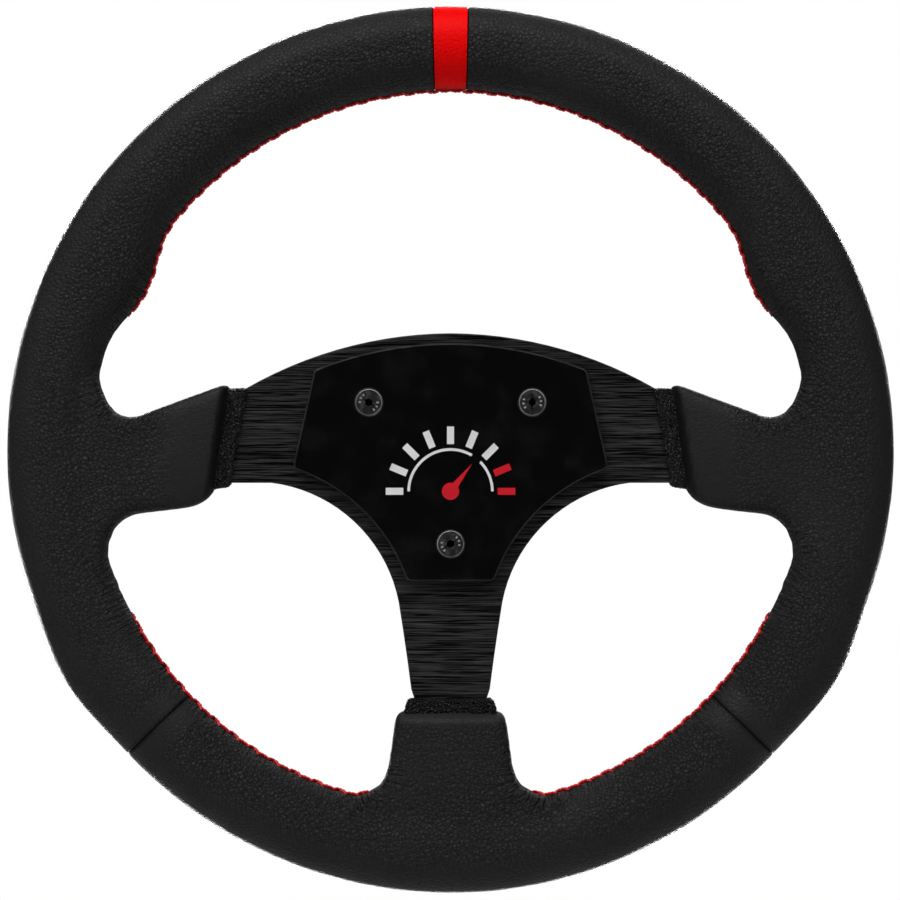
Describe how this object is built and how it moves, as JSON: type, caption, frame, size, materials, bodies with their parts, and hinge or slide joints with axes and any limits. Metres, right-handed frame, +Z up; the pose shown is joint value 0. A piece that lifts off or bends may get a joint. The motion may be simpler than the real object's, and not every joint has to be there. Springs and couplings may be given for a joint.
{
  "type": "racing wheel rim",
  "caption": "Round leather-wrapped racing wheel rim with flat metal spokes, a gloss centre cover and a screw circle for a hub.",
  "frame": {"origin": "hub centre, on the machined land at the rear of the spoke plate", "axes": "+X to the driver's right, +Y forward along the steering shaft, away from the driver, +Z up with the centre band at the top"},
  "size_m": [0.33, 0.028, 0.33],
  "materials": {
    "black_brushed_metal": "black anodised, brushed from side to side, satin",
    "rim_metal": "plain mill finish, hidden in the grip",
    "rivet_metal": "plain, hidden in the grip",
    "foam": "moulded polyurethane foam, hidden in the grip",
    "black_leather": "pebbled charcoal leather, soft sheen",
    "red_leather": "fine-grained red leather, soft sheen",
    "cuff_leather": "gathered and crumpled charcoal leather",
    "red_thread": "waxed red polyester thread",
    "cover_gloss": "polished black",
    "pad_foam": "thin adhesive foam, matte",
    "emblem_white": "white vinyl, satin",
    "emblem_red": "red vinyl, satin",
    "screw_steel": "black oxide, bright on the worn head rim"
  },
  "bodies": {
    "root": {"spoke_plate": "black_brushed_metal", "rim_ring": "rim_metal", "ring_rivets": "rivet_metal", "foam_core": "foam", "leather_upper_left": "black_leather", "leather_upper_right": "black_leather", "leather_bottom": "black_leather", "centre_band": "red_leather", "cuff_left": "cuff_leather", "cuff_right": "cuff_leather", "cuff_bottom": "cuff_leather", "thread_upper_left": "red_thread", "thread_upper_right": "red_thread", "thread_lower_left": "red_thread", "thread_lower_right": "red_thread", "thread_rear_left": "red_thread", "thread_rear_right": "red_thread", "thread_rear_bottom": "red_thread", "cover_plate": "cover_gloss", "cover_pad": "pad_foam", "emblem_white": "emblem_white", "emblem_red": "emblem_red", "screw_upper_left": "screw_steel", "screw_upper_right": "screw_steel", "screw_bottom": "screw_steel"}
  },
  "joints": []
}
